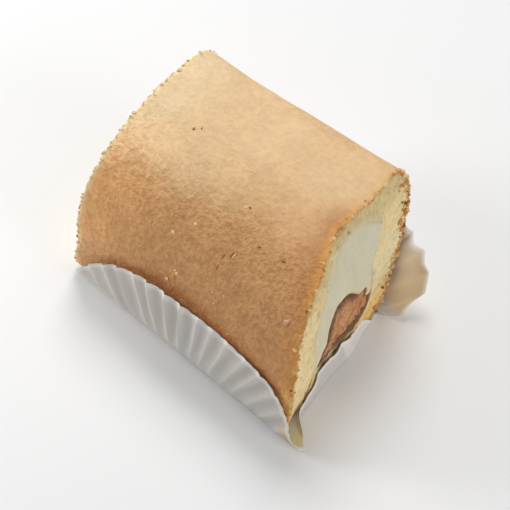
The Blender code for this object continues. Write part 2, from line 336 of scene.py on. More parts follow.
# sponge: skin, crumb and cut ends
sponge = {
    "around": 470, "along": 104, "through": 34, "inside": 8,
    # relief of the skin, in mm: how deep and how wide
    "skinWaves": 0.16, "waveSize": 15, "skinGrain": 0.035, "grainSize": 1.7,
    "skinPits": 0.22, "pitSize": 6.5, "lipIn": 0.45, "lipWidth": 0.5, "skinDepth": 1.2,
    # relief of the torn cuts
    "tear": 0.75, "tearSizes": (7.5, 2.4), "rag": 0.45, "ragSize": 0.95, "cutDepth": 2.2,
    "pores": 0.7, "poreSize": 3.3, "finePores": 0.35, "finePoreSize": 1.25,
    "notchAt": (37.5, 52.0), "notchSize": 3.0, "notchDepth": 1.2, "footFlare": 1.1,
    "topTone": (231, 196, 147), "wallTone": (217, 161, 103), "lowTone": (209, 160, 114),
    "edgeTone": (221, 152, 88), "bandTone": (230, 166, 92), "ridgeTone": (241, 217, 176),
    "rimTone": (240, 190, 112), "leftRimTone": (246, 222, 168), "goldTone": (222, 146, 64),
    "dampTone": (192, 106, 60), "cornerTone": (255, 204, 124),
    "leftLight": 0.22, "shoulderShade": 0.26, "toneSizes": (14, 6, 1.3),
    # height of the paper's rim, its middle, and how steeply it falls to the left and the right
    "rim": (23.9, 49.0, 3.2, 4.0),
    "crumbTone": (255, 229, 173), "crumbTopTone": (228, 205, 150), "crumbBackTone": (252, 232, 184),
    "crustTone": (208, 138, 70), "poreTone": (168, 132, 70), "soakTone": (255, 206, 124),
    "stainTone": (140, 84, 48), "creamyTone": (226, 214, 180),
}


def spongeTurn():
    # turn of the sheet against the distance round the skin, so that the mesh is even
    gap = math.radians(roll["seamGap"])
    turned = np.linspace(gap / 2, 2 * math.pi - gap / 2, 4000)
    length = along(skinAt(math.radians(roll["seamAtSkin"]) - turned))
    return length / length[-1], turned


turnTable = spongeTurn()


def spongeAt(u, v, w):
    # the sheet as a bent bar: u round the roll, v from the skin to the hollow, w along it
    shape, u, v, w = spread(u, v, w)
    turned = np.interp(u, *turnTable)
    angle = math.radians(roll["seamAtSkin"]) - turned
    skin = skinAt(angle)
    way = unit(skinAt(angle - 0.01) - skinAt(angle + 0.01))
    out = np.stack([-way[:, 1], way[:, 0]], -1)
    x = stationX(w, *skin.T)
    lift = swell(x, angle) * smooth(2.0, 12.0, skin[:, 1])
    skin = skin + unit(skin - heart) * lift[:, None]
    skin[:, 0] += bulge(x, *skin.T)
    inner = hollowAt(math.radians(roll["seamAtHollow"]) - turned)
    thick = np.linalg.norm(skin - inner, axis=1)
    place = skin + (inner - skin) * v[:, None]
    x = stationX(w, *place.T)
    base = np.column_stack([x, place])
    depth = v * thick
    toLeft, toRight = toCuts(x, *place.T)
    nearEnd = np.minimum(toLeft, toRight)

    # the skin's own relief, quiet where it lies on the paper
    relief = sponge["skinWaves"] * noise(base, sponge["waveSize"], 3)
    relief = relief + sponge["skinGrain"] * noise(base, sponge["grainSize"], 5)
    near, _, name = cells(base, sponge["pitSize"], 2)
    pit = np.where(name > 0.15, hump(near, 0.30 + 0.25 * np.abs(name)), 0)
    relief = relief - sponge["skinPits"] * pit * (np.abs(name) + 0.3)
    lipIn = sponge["lipIn"] * np.exp(-nearEnd / sponge["lipWidth"])
    lift = (relief * smooth(0.8, 4.0, place[:, 1]) - lipIn) * np.exp(-depth / sponge["skinDepth"])
    place = place + out * lift[:, None]

    # both cut ends: torn crumb with open pores, ragged under the skin
    flat = base * (0.35, 1, 1)
    wide, narrow = sponge["tearSizes"]
    tear = sponge["tear"] * (0.55 * noise(flat, wide, 8) + 0.45 * noise(flat, narrow, 9))
    bigNear, _, bigName = cells(flat, sponge["poreSize"], 5)
    smallNear, _, smallName = cells(flat, sponge["finePoreSize"], 6)
    bigPore = hump(bigNear, 0.35 + 0.4 * np.abs(bigName)) * (bigName > 0.15)
    smallPore = hump(smallNear, 0.34) * (smallName > -0.35)
    inCrumb = smooth(0.15, 1.1, depth)
    cut = tear - (sponge["pores"] * bigPore + sponge["finePores"] * smallPore) * inCrumb - 0.25
    cut = cut + sponge["rag"] * noise(flat, sponge["ragSize"], 10) * hump(depth, 1.1, 0.9)
    cut = cut * smooth(0.0, 2.5, base[:, 2]) * (0.6 + 0.4 * inCrumb)
    foot = sponge["footFlare"] * smooth(8, 1, base[:, 2])
    foot = foot * smooth(4, 14, base[:, 1]) * smooth(50, 38, base[:, 1])
    awayY, awayZ = place[:, 0] - sponge["notchAt"][0], place[:, 1] - sponge["notchAt"][1]
    chip = np.exp(-((awayY**2 + (awayZ * 1.6) ** 2) / sponge["notchSize"] ** 2))
    atRight, atLeft = (hump(away, sponge["cutDepth"]) for away in (toRight, toLeft))
    x = x + (cut + foot) * atRight - cut * atLeft
    x = x - sponge["notchDepth"] * chip * hump(toRight, 6)
    y, z = place[:, 0], np.maximum(place[:, 1], roll["floor"])
    marks = (depth, nearEnd, bigPore * inCrumb, smallPore * inCrumb, pit, toRight, chip)
    return np.stack([x, y, z, *marks, (1 - v) * thick], -1).reshape(*shape, -1)


def skinTones(points, slow, mild, fine):
    # pale on top, browner down the walls and along the cuts
    x, y, z, _, nearEnd, _, _, pit, toRight, chip, _ = points.T
    s = tonesOf(sponge)
    level = z + 1.8 * slow - 0.10 * (x - 40)
    wall = smooth(55, 43, level) * (1 - 0.35 * smooth(34, 50, y))
    tone = laid(s["top"], s, wall=wall, low=smooth(26, 8, z + 2.0 * slow) * 0.8)
    lit = sponge["leftLight"] * smooth(30, 4, x) * smooth(50, 40, y + 0.3 * z)
    tone = tone * (1 + lit)[:, None]
    byCut = np.exp(-((np.maximum(toRight, 0) / (6.5 + 1.5 * mild)) ** 1.6))
    byCut = byCut * smooth(50, 38, y + 1.5 * mild)
    tone = laid(tone, s, edge=np.clip(0.9 * byCut, 0, 1))
    shade = sponge["shoulderShade"] * hump(toRight, 7) * smooth(39, 45, z) * smooth(48, 40, y)
    tone = tone * (1 - shade)[:, None]
    # a band right beside the cut where the skin has dried to gold
    band = smooth(3.6 + 0.9 * mild, 1.2, toRight) * smooth(50, 44, y) * (0.75 + 0.25 * fine)
    golden = hump(toRight, 2.2) * smooth(56, 50, z + 0.1 * y)
    golden = np.maximum(golden, 0.7 * chip * hump(toRight, 2.0))
    onRim = hump(nearEnd, np.where(toRight > 20, 1.6, 1.1))
    tone = laid(tone, s, ridge=0.45 * smooth(18, 4, x) * smooth(47, 52, z),
                band=np.clip(0.8 * band, 0, 1), gold=0.75 * golden,
                rim=0.5 * onRim * (toRight < 20), leftRim=0.95 * onRim * (toRight > 20),
                # painted light on the golden skin at the low corner by the cut, against the shade
                # there
                corner=0.85 * smooth(7, 2.5, toRight + fine) * smooth(27, 12, z))
    # random slight changes of tone, and painted shade in the skin's pits
    tone = tone * (1 + 0.04 * mild + 0.05 * fine)[:, None] * (1 - 0.25 * pit)[:, None]
    # painted contact shade along the paper's rim, with the skin's own redder browning where it
    # touched the paper
    top, middle, left, right = sponge["rim"]
    far = np.abs(x - middle) / middle
    rimZ = top * (1 - np.clip(far, 0, 1) ** np.where(x < middle, left, right))
    above = z - rimZ - 0.4 * mild
    damp = hump(above, np.where(above > 0, 2.2, 1.5)) * smooth(30, 20, y)
    damp = damp * smooth(4, 30, x) * smooth(86, 74, x)
    return laid(tone, s, damp=np.clip(0.5 * damp * (1 + 0.3 * fine), 0, 1))


def crumbTones(points, mild, fine):
    # pale at the front, warmer towards the back, the floor and the skin
    _, y, z, depth, _, bigPore, smallPore, _, _, chip, toHollow = points.T
    s = tonesOf(sponge)
    back = smooth(40, 60, y + 2.5 * mild)
    low = np.maximum(back * smooth(32, 20, z), smooth(14, 3, z) * smooth(24, 42, y))
    soaked = smooth(15, 6, z + 1.5 * mild) * smooth(34, 44, y)
    underFilling = smooth(17, 13, z) * smooth(20, 23, y) * smooth(52, 48, y)
    crumb = laid(s["crumb"], s, crumbTop=smooth(34, 46, z + 2 * mild), crumbBack=low,
                 soak=0.75 * soaked, crust=hump(depth, 0.65 + 0.7 * back + 0.2 * mild) * 0.9,
                 creamy=0.85 * hump(toHollow, (1.7 + 0.6 * mild + 0.5 * fine).clip(0.5)),
                 # a thin dark line where the crumb meets the filling: painted shade, with the
                 # filling's own stain
                 stain=0.8 * hump(toHollow, 0.5) * underFilling)
    crumb = laid(crumb, s, crust=0.7 * np.clip(chip * 1.3, 0, 1),
                 # painted shade in the open pores
                 pore=np.clip(0.7 * bigPore + 0.5 * smallPore, 0, 0.85))
    return crumb * (1 + 0.05 * mild + 0.07 * fine)[:, None]


def buildSponge():
    u = np.linspace(0, 1, sponge["around"])
    v = between(0, 1, sponge["through"], 0.35)
    w = between(0, 1, sponge["along"], 0.75)
    points, faces, kinds = bentBar(spongeAt, u, v, w, np.linspace(0, 1, sponge["inside"]), 1)
    piece = makeMesh("spongeRoll", points[:, :3], faces)
    piece.data.polygons.foreach_set("material_index", kinds.astype(np.int32))
    slow, mild, fine = (noise(points[:, :3], size, 20 + k)
                        for k, size in enumerate(sponge["toneSizes"]))
    # the top is smoother than the walls
    pebbles = 0.3 + 0.7 * smooth(54, 44, points[:, 2] + 2 * slow)
    layer = piece.data.attributes.new("pebbles", "FLOAT", "POINT")
    layer.data.foreach_set("value", pebbles.astype(np.float32))
    paint(piece, "tone", skinTones(points, slow, mild, fine))
    paint(piece, "crumb", crumbTones(points, mild, fine))
    return piece


def nodeMaterial(name):
    material = bpy.data.materials.new(name)
    material.use_nodes = True
    tree = material.node_tree
    shader = tree.nodes["Principled BSDF"]

    def add(kind, **values):
        node = tree.nodes.new(kind)
        for key, value in values.items():
            if key in node.inputs:
                node.inputs[key].default_value = value
            else:
                setattr(node, key, value)
        return node

    def link(a, b):
        tree.links.new(a, b)

    return material, shader, add, link


def noiseNode(add, link, where, scale, detail=4.0, rough=0.55):
    node = add("ShaderNodeTexNoise", Scale=scale, Detail=detail, Roughness=rough)
    link(where.outputs["Object"], node.inputs["Vector"])
    return node.outputs["Fac"]


def ranged(add, link, value, source, target):
    # maps one range of a value onto another
    node = add("ShaderNodeMapRange")
    for end, number in zip(("From Min", "From Max", "To Min", "To Max"), source + target):
        node.inputs[end].default_value = number
    link(value, node.inputs["Value"])
    return node.outputs["Result"]


def brighten(add, link, colour, factor, low, high):
    # multiplies a colour by low to high as a noise rises
    times = add("ShaderNodeVectorMath", operation="SCALE")
    link(colour, times.inputs[0])
    link(ranged(add, link, factor, (0.25, 0.75), (low, high)), times.inputs["Scale"])
    return times.outputs["Vector"]


def tinted(add, link, colour, factor, edges, dark, light):
    # multiplies a colour by the dark to the light tint as a noise crosses the two edges
    blend = add("ShaderNodeMix", data_type="RGBA")
    blend.inputs["A"].default_value, blend.inputs["B"].default_value = (*dark, 1), (*light, 1)
    link(ranged(add, link, factor, edges, (0.0, 1.0)), blend.inputs["Factor"])
    times = add("ShaderNodeVectorMath", operation="MULTIPLY")
    link(colour, times.inputs[0])
    link(blend.outputs["Result"], times.inputs[1])
    return times.outputs["Vector"]


def bumped(add, link, height, strength, distance, normal=None):
    node = add("ShaderNodeBump", Strength=strength, Distance=distance)
    link(height, node.inputs["Height"])
    if normal:
        link(normal, node.inputs["Normal"])
    return node.outputs["Normal"]


def softFinish(add, link, shader, look, colour, normal, factor):
    # the sockets that all the foods and the paper share; a pair of roughnesses follows the noise
    link(colour, shader.inputs["Base Color"])
    link(normal, shader.inputs["Normal"])
    if isinstance(look["roughness"], tuple):
        link(ranged(add, link, factor, (0.3, 0.7), look["roughness"]), shader.inputs["Roughness"])
    else:
        shader.inputs["Roughness"].default_value = look["roughness"]
    shader.inputs["Specular IOR Level"].default_value = look["specular"]
    shader.inputs["Subsurface Weight"].default_value = look["soft"]
    shader.inputs["Subsurface Radius"].default_value = look["softReach"]


def paintedMaterial(name, look, layer="tone"):
    # the tone painted on the mesh, broken up by two noises, with the first one as relief
    material, shader, add, link = nodeMaterial(name)
    where = add("ShaderNodeTexCoord")
    colour = add("ShaderNodeVertexColor", layer_name=layer).outputs["Color"]
    noises = [noiseNode(add, link, where, *values) for values in look["noises"]]
    for factor, contrast in zip(noises, look["contrasts"]):
        colour = brighten(add, link, colour, factor, *contrast)
    normal = bumped(add, link, noises[0], *look["bump"])
    softFinish(add, link, shader, look, colour, normal, noises[0])
    return material


skinLook = {
    "roughness": (0.5, 0.68), "specular": 0.35, "soft": 0.06, "softReach": (0.0025, 0.0014, 0.0007),
    "mottle": (260, 5), "grain": (1500, 3), "pebble": (700, 3, 0.6),
    "contrast": (0.95, 1.04), "grainContrast": (0.90, 1.08),
    # tints: the noise's two edges, the dark and the light
    "pebbleTint": ((0.36, 0.62), (0.89, 0.85, 0.80), (1.06, 1.09, 1.14)),
    "mottleTint": ((0.38, 0.60), (0.97, 0.95, 0.93), (1.02, 1.03, 1.05)),
    "grainBump": (0.2, 0.0004), "mottleBump": (0.2, 0.0008), "pebbleBump": (0.8, 0.0012),
}


def skinMaterial():
    material, shader, add, link = nodeMaterial("spongeSkin")
    where = add("ShaderNodeTexCoord")
    tone = add("ShaderNodeVertexColor", layer_name="tone")
    mottle, grain, pebble = (noiseNode(add, link, where, *skinLook[name])
                             for name in ("mottle", "grain", "pebble"))
    plain = brighten(add, link, tone.outputs["Color"], mottle, *skinLook["contrast"])
    # the walls are pebbled like fine leather, and the top is smoother
    amount = add("ShaderNodeAttribute", attribute_name="pebbles")
    pebbled = tinted(add, link, plain, pebble, *skinLook["pebbleTint"])
    pebbled = tinted(add, link, pebbled, mottle, *skinLook["mottleTint"])
    pebbled = brighten(add, link, pebbled, grain, *skinLook["grainContrast"])
    blend = add("ShaderNodeMix", data_type="RGBA")
    link(amount.outputs["Fac"], blend.inputs["Factor"])
    link(plain, blend.inputs["A"])
    link(pebbled, blend.inputs["B"])
    height = add("ShaderNodeMath", operation="MULTIPLY")
    link(pebble, height.inputs[0])
    link(amount.outputs["Fac"], height.inputs[1])
    normal = bumped(add, link, grain, *skinLook["grainBump"])
    normal = bumped(add, link, mottle, *skinLook["mottleBump"], normal)
    normal = bumped(add, link, height.outputs["Value"], *skinLook["pebbleBump"], normal)
    softFinish(add, link, shader, skinLook, blend.outputs["Result"], normal, mottle)
    return material


crumbLook = {
    "noises": ((1500, 4, 0.7), (420, 3)), "contrasts": ((0.86, 1.10), (0.93, 1.06)),
    "bump": (0.6, 0.0007), "roughness": 0.85, "specular": 0.2,
    "soft": 0.12, "softReach": (0.003, 0.002, 0.001),
}

spongePiece = buildSponge()
spongePiece.data.materials.append(skinMaterial())
spongePiece.data.materials.append(paintedMaterial("spongeCrumb", crumbLook, "crumb"))
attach(spongePiece, "root")
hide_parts("sponge_sheet")
print("sponge built", len(spongePiece.data.polygons))


# cream
cream = {
    "around": 220, "through": 26, "along": 30, "recess": 0.35, "touch": 0.06,
    "smears": ((0.30, 6, (1, 1.0, 0.45)), (0.10, 1.6, (1, 1, 0.3))), "smearDepth": 3,
    "holes": 0.5, "holeSpacing": 4.2, "holeSize": 0.4, "rimIn": 0.35, "rimWidth": 0.5,
    "plainTone": (217, 210, 181), "lowTone": (255, 226, 194), "borderTone": (226, 204, 152),
    "noises": ((700, 4), (160, 3)), "contrasts": ((0.97, 1.03), (0.97, 1.03)),
    "bump": (0.25, 0.0005), "roughness": 0.5, "specular": 0.35,
    "soft": 0.3, "softReach": (0.003, 0.0025, 0.0018),
}


def creamAt(u, v, w):
    # u from the front foot over to the back foot, v from the sponge in to the filling
    shape, u, v, w = spread(u, v, w)
    angle = frontFoot + (backFoot - frontFoot) * u
    outer, inner = hollowAt(angle), moundAt(angle)
    outer = outer + unit(heart - outer) * cream["touch"]
    inner = inner + unit(inner - heart) * cream["touch"]
    place = outer + (inner - outer) * v[:, None]
    y, z = place[:, 0], place[:, 1]
    flat = np.stack([stationX(w, y, z), y, z], -1) * (0.3, 1, 1)
    x = stationX(w, y, z, cream["recess"])
    toLeft, toRight = toCuts(x, y, z)
    # the knife smears cream across the cut in shallow steps
    smear = sum(deep * noise(flat * stretch, size, 41 + k)
                for k, (deep, size, stretch) in enumerate(cream["smears"]))
    hole, _, name = cells(flat, cream["holeSpacing"], 9)
    smear = smear - cream["holes"] * hump(hole, cream["holeSize"]) * (name > 0.25)
    rim = np.minimum(v, 1 - v) * np.linalg.norm(outer - inner, axis=1)
    smear = smear - cream["rimIn"] * np.exp(-rim / cream["rimWidth"])
    x = x + smear * (hump(toRight, cream["smearDepth"]) - hump(toLeft, cream["smearDepth"]))
    return np.stack([x, y, z, rim], -1).reshape(*shape, -1)


def buildCream():
    u = np.linspace(0, 1, cream["around"])
    v = np.linspace(0, 1, cream["through"])
    w = between(0, 1, cream["along"], 0.8)
    points, faces, _ = bentBar(creamAt, u, v, w, w)
    places, rim = points[:, :3], points[:, 3]
    piece = makeMesh("creamArch", places, faces)
    c = tonesOf(cream)
    # lighter towards the feet: painted light against the shade that falls low in the hollow
    low = smooth(26, 12, places[:, 2] + 2 * noise(places, 6, 44))
    soft = (1.2 + 0.6 * noise(places, 3, 46)).clip(0.3)
    tone = laid(c["plain"], c, low=low, border=0.7 * hump(rim, soft))
    paint(piece, "tone", tone * (1 + 0.03 * noise(places, 3, 45, 3))[:, None])
    return piece


creamPiece = buildCream()
creamPiece.data.materials.append(paintedMaterial("whippedCream", cream))
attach(creamPiece, "root")
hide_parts("cream_layer")
print("cream built", len(creamPiece.data.polygons))


# brown filling
filling = {
    "around": 260, "inward": 46, "along": 24, "recess": 0.6, "cutDepth": 4,
    "lumps": 0.7, "lumpSize": 4.2, "crumbs": 0.45, "crumbSize": 1.6, "bend": 0.7,
    "edgeIn": 0.5, "edgeWidth": 0.7, "crease": ((45.2, 15.6), (39.0, 3.4)), "creaseWidth": 0.45,
    "lightTone": (224, 166, 112), "midTone": (210, 146, 94), "darkTone": (94, 56, 34),
    "redTone": (206, 122, 76), "orangeTone": (220, 148, 84),
    "noises": ((1100, 4, 0.65),), "contrasts": ((0.88, 1.12),), "bump": (0.6, 0.0006),
    "roughness": (0.35, 0.65), "specular": 0.5, "soft": 0.1, "softReach": (0.002, 0.001, 0.0005),
}


def creaseAt(place, side=False):
    # a fold runs down the filling, and the side behind it is soaked orange
    top, foot = (np.array(end) for end in filling["crease"])
    way = (foot - top) / np.linalg.norm(foot - top)
    off = (place - top) @ np.array((-way[1], way[0]))
    if side:
        return smooth(-0.2, 1.2, off)
    return hump(off, filling["creaseWidth"]) * smooth(1, 4, place[:, 1])


def fillingAt(u, v, w):
    # v runs from the heart out to the mound's outline
    shape, u, v, w = spread(u, v, w)
    angle = u * 2 * math.pi + backFoot - 0.02
    angle = np.where(angle > backFoot + 2 * math.pi - 0.02, angle - 2 * math.pi, angle)
    outline = moundAt(np.mod(angle + math.pi / 2, 2 * math.pi) - math.pi / 2)
    place = heart + (outline - heart) * v[:, None]
    y, z = place[:, 0], place[:, 1]
    flat = np.stack([stationX(w, y, z), y, z], -1) * (0.25, 1, 1)
    x = stationX(w, y, z, filling["recess"])
    toLeft, toRight = toCuts(x, y, z)
    # lumps of two sizes with cracks between them
    bent = flat + filling["bend"] * np.stack([noise(flat, 3, 50 + k) for k in range(3)], -1)
    _, gap, name = cells(bent * (1, 1, 1.15), filling["lumpSize"], 12)
    _, smallGap, _ = cells(bent, filling["crumbSize"], 13)
    lump = smooth(0.0, 1.4, gap) * (0.6 + 0.4 * name) - 0.5
    lump = filling["lumps"] * lump + filling["crumbs"] * (smooth(0, 0.5, smallGap) - 0.6)
    lump = lump + 0.2 * noise(flat, 1.0, 54)
    edge = np.linalg.norm(outline - heart, axis=1) * (1 - v)
    lump = lump - filling["edgeIn"] * np.exp(-edge / filling["edgeWidth"])
    lump = lump - 0.5 * creaseAt(place) * (edge > 0.5)
    x = x + lump * (hump(toRight, filling["cutDepth"]) - hump(toLeft, filling["cutDepth"]))
    return np.stack([x, y, z, gap, name, edge], -1).reshape(*shape, -1)


def buildFilling():
    grid = Grids()
    u = np.linspace(0, 1, filling["around"])
    v = np.linspace(0.0, 1, filling["inward"])
    w = between(0, 1, filling["along"], 0.85)
    side = fillingAt(u[:, None], 1.0, w[None, :])
    side[-1] = side[0]
    grid.add(side, 0, True)
    for end, flip in ((1.0, False), (0.0, True)):
        cap = fillingAt(u[:, None], v[None, :], end)
        cap[-1] = cap[0]
        cap[:, 0] = cap[:1, 0]
        grid.add(cap, 0, flip)
    points, faces, _ = grid.sewn()
    places = points[:, :3]
    piece = makeMesh("brownFilling", places, faces)
    gap, name, edge = points[:, 3:].T
    f = tonesOf(filling)
    slant = np.array(((0.4, 0, 0), (0, 0.5, 1.0), (0, 0.5, -1.0)))
    streaks = noise(places @ slant, 3.2, 63)
    # painted shade in the cracks between the lumps, and the filling's own dark streaks
    crackShadeAndStreaks = 0.4 * smooth(0.5, 0.0, gap) + 0.3 * smooth(-0.2, -0.9, streaks)
    tone = laid(f["mid"], f, light=smooth(-0.6, 0.7, streaks + 0.3 * name),
                red=0.5 * smooth(0.2, 0.9, noise(places, 5, 61)),
                orange=0.8 * creaseAt(places[:, 1:], True), dark=crackShadeAndStreaks)
    # painted shade along the fold
    tone = laid(tone, f, dark=0.8 * creaseAt(places[:, 1:]))
    # a painted shadow line round the filling's edge, wider except at the back
    outline = 1.0 + 1.9 * smooth(46, 36, places[:, 1]) + 0.4 * noise(places, 3, 62)
    paint(piece, "tone", laid(tone, f, dark=0.9 * np.exp(-((edge / outline) ** 3))))
    return piece


fillingPiece = buildFilling()
fillingPiece.data.materials.append(paintedMaterial("brownFilling", filling))
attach(fillingPiece, "root")
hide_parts("brown_filling")
print("filling built", len(fillingPiece.data.polygons))


# paper case: laid out flat as x along the roll and v across it, and then wrapped round the skin
paper = {
    "thick": 0.14, "solidThick": 0.35, "clearance": 1.1, "lowered": 0.9,
    "middle": (46.0, 34.0), "halfWidth": 56.4,
    "left": -4.0, "right": 93.5, "rightPerV": -0.1, "power": (2.5, 3.9),
    # the end folded up in front of the cut: its line, and how far and how steeply it turns up
    "strip": (87.5, -0.2), "stripFront": 8.0, "frontEnd": (1, 11),
    "stripSwell": 1.0, "swellSize": 7, "swellAt": 37,
    "turnUp": 6.2, "turnStart": (0, 26), "turnEnd": (42, 56), "foldRadius": 0.45,
    "turnLean": 104, "turnPress": 7, "pressSize": 8, "pressAt": 31, "pleat": 0.12,
    # the wing opens in steps, each with its way out and the place across where it starts and ends
    "wing": ((8.0, 57.0, 60.5), (3.0, 62.0, 67.0), (-11.5, 66.5, 79.0), (-10.0, 78.0, 88.0)),
    "backFlare": 1.5, "wingFlare": 3.5, "wingDepth": 0.3, "wingWave": 0.8,
    "flutes": 56, "perFlute": 12, "depth": 2.5, "scallop": 1.3, "crestPower": 2.2,
    "rings": 54, "ringShares": (0, 0.12, 0.4, 0.62, 1.0), "ringReach": (14, 24, 31.5, 36, 56),
    "tip": 3.4, "tipSize": 1.8, "tipAt": 1.6,
    "plainTone": (234, 229, 222), "rimTone": (252, 249, 243), "warmTone": (238, 216, 182),
    "tipTone": (250, 234, 182), "rightShade": 0.17, "ridgeLight": 0.08,
    "noises": ((1400, 5, 0.7), (180, 3)), "contrasts": ((0.97, 1.03), (0.97, 1.02)),
    "bump": (0.15, 0.0003), "roughness": 0.62, "specular": 0.35,
    "soft": 0.15, "softReach": (0.001, 0.0009, 0.0008),
}


def wrapLines():
    # the two lines from the middle of the floor up the front and the back wall
    lines = []
    floor = paper["solidThick"] / 2
    for way in (-1, 1):
        skin = skinAt(-math.pi / 2 + way * np.radians(30 + 0.2 * np.arange(700)))
        away = skin - unit(np.array(roll["skin"]["widest"]) - skin) * paper["clearance"]
        y = skin[:, 0] + way * paper["clearance"] * smooth(0, 3, skin[:, 1])
        z = np.maximum(away[:, 1] - paper["lowered"], floor)
        line = np.concatenate([[(paper["middle"][1], floor)], np.stack([y, z], -1)])
        lines.append((along(line), line))
    return lines


def wrapped(v, lift, lines):
    # where a place across the flat sheet comes to lie, lifted off its line
    side = np.where(v < paper["middle"][1], -1.0, 1.0)
    reach = np.abs(v - paper["middle"][1])
    spots = []
    for far in (reach, reach + 1):
        front, back = (np.stack([np.interp(far, length, line[:, i]) for i in (0, 1)], -1)
                       for length, line in lines)
        spots.append(np.where((side < 0)[:, None], front, back))
    here, ahead = spots
    step = ahead - here
    size = np.linalg.norm(step, axis=1)
    y = here[:, 0] + side * np.abs(step[:, 1]) / size * lift
    z = here[:, 1] - side * step[:, 0] / size * lift
    return y, z


def foldLine(v):
    # where the sheet is folded up in front of the right cut, and how far the wing opens
    opened = sum(out * smooth(start, end, v) for out, start, end in paper["wing"])
    opened = opened + paper["stripFront"] * (1 - smooth(*paper["frontEnd"], v))
    opened = opened + paper["stripSwell"] * hump(v, paper["swellSize"], paper["swellAt"])
    return paper["strip"][0] + paper["strip"][1] * v + opened


def turnedUp(v):
    return paper["turnUp"] * smooth(*paper["turnStart"], v) * (1 - smooth(*paper["turnEnd"], v))


def flatRim():
    # the flat sheet's rim as evenly spaced points, and each one's share of the way round
    angle = 2 * math.pi * np.linspace(0, 1, 6001)
    cosine, sine = np.cos(angle), np.sin(angle)
    power = 2 / np.where(cosine > 0, paper["power"][1], paper["power"][0])
    v = paper["middle"][1] + paper["halfWidth"] * np.sign(sine) * np.abs(sine) ** power
    right = paper["right"] + paper["rightPerV"] * v
    middle, half = (right + paper["left"]) / 2, (right - paper["left"]) / 2
    x = middle + half * np.sign(cosine) * np.abs(cosine) ** power
    x = np.minimum(x, foldLine(v) + turnedUp(v))
    x = x + paper["tip"] * hump(v, paper["tipSize"], paper["tipAt"]) * smooth(80, 90, x)
    line = np.stack([x, v], -1)
    length = along(line)
    at = np.linspace(0, length[-1], paper["flutes"] * paper["perFlute"], endpoint=False)
    return np.stack([np.interp(at, length, line[:, i]) for i in (0, 1)], -1), at / length[-1]


def fluteWaves(turn):
    # each flute from 0 in its valley to 1 on its crest, and its strength: no two are quite alike
    flute = turn * paper["flutes"]
    number = np.arange(paper["flutes"] + 1)
    random = np.random.default_rng(5)
    strength = 0.75 + 0.5 * random.random(len(number))
    phase = 0.18 * (random.random(len(number)) - 0.5)
    strength[-1], phase[-1] = strength[0], phase[0]
    wave = np.abs(((flute + np.interp(flute, number, phase)) % 1.0) * 2 - 1)
    return flute, wave, np.interp(flute, number, strength)


def ringShares(rim):
    # shares of the way out to the rim, closer together where the sheet bends up
    far = np.maximum(1.0, np.abs(rim[:, 1] - paper["middle"][1]))
    even = np.linspace(0, 1, paper["rings"])
    fold = np.interp(even, paper["ringShares"], paper["ringReach"])
    share = np.minimum(fold[None, :] / far[:, None], np.linspace(0.2, 1, paper["rings"])[None, :])
    share[:, -1] = 1.0
    return share


def rimWaves(rim, flute, wave):
    # scallops along the rim, and one wave for two flutes pressed together at the folded end
    calm = 1 - 0.3 * smooth(60, 75, rim[:, 0]) * smooth(40, 50, rim[:, 1])
    rounded = 0.5 * wave ** paper["crestPower"] + 0.5 * np.sin(math.pi * wave / 2) - 0.5
    pairs = np.sin(math.pi * flute + 0.8 + 0.5 * np.sin(0.21 * rim[:, 1]))
    folded = smooth(0, 1, turnedUp(rim[:, 1])) * (rim[:, 0] > 60)
    return mix(paper["scallop"] * rounded * calm, 0.8 * pairs - 0.3, folded)


def backOut(x, z, height):
    # how far the back flap and its wing stand out
    wave = paper["wingWave"] * np.sin(0.62 * x + 0.25 * z)
    return (paper["backFlare"] * smooth(0, 20, height),
            paper["wingFlare"] * smooth(64, 84, x) * smooth(0, 9, height),
            wave * smooth(60, 74, x) * smooth(2, 12, height))


def foldedUp(x, z, v, crests):
    # the end folded up: round a small radius, and then straight
    radius = paper["foldRadius"]
    over = np.maximum(0, x - foldLine(v) + radius)
    turn = paper["turnLean"] + paper["turnPress"] * hump(v, paper["pressSize"], paper["pressAt"])
    turn = np.radians(turn) + paper["pleat"] * (crests - 0.5)
    bent = np.minimum(over / radius, turn)
    rest = over - bent * radius
    folds = smooth(0, 1, turnedUp(v)) * (over > 0)
    x = x + folds * (radius * np.sin(bent) + rest * np.cos(turn) - over)
    z = z + folds * (radius * (1 - np.cos(bent)) + rest * np.sin(turn))
    return x, z


def paperFaces(count, rings):
    # quads between the rings, and a fan about one point that closes the flat middle
    index = np.arange(count * rings).reshape(count, rings)
    ahead = np.roll(index, -1, axis=0)
    quads = np.stack([index[:, :-1], index[:, 1:], ahead[:, 1:], ahead[:, :-1]], -1).reshape(-1, 4)
    inner, hub = index[:, 0], np.full(count // 2, count * rings)
    fan = np.stack([hub, inner[0::2], inner[1::2], np.roll(inner, -2)[0::2]], -1)
    return np.concatenate([quads, fan[:, ::-1]])


def paperTones(x, v, height, crests, share):
    # a painted warm reflection of the cake on the wing, greasy at the tip, darker along the front
    # right, and a painted highlight along the white rim
    p = tonesOf(paper)
    back = v > paper["middle"][1]
    # painted warm reflection of the cake on the wing
    tone = laid(p["plain"], p, warm=smooth(60, 78, x) * back * smooth(0, 4, height),
                tip=smooth(86, 90, x) * smooth(9, 5, v))
    ridges = (crests * 2 - 1) * smooth(0.55, 0.8, share)
    tone = tone * (1 + paper["ridgeLight"] * ridges * (height > 0.5))[:, None]
    tone = tone * (1 - paper["rightShade"] * smooth(10, 60, x) * ~back)[:, None]
    # a painted highlight along the rim
    tone = laid(tone, p, rim=0.8 * smooth(0.965, 0.99, share))
    return np.concatenate([tone, p["plain"][None]])


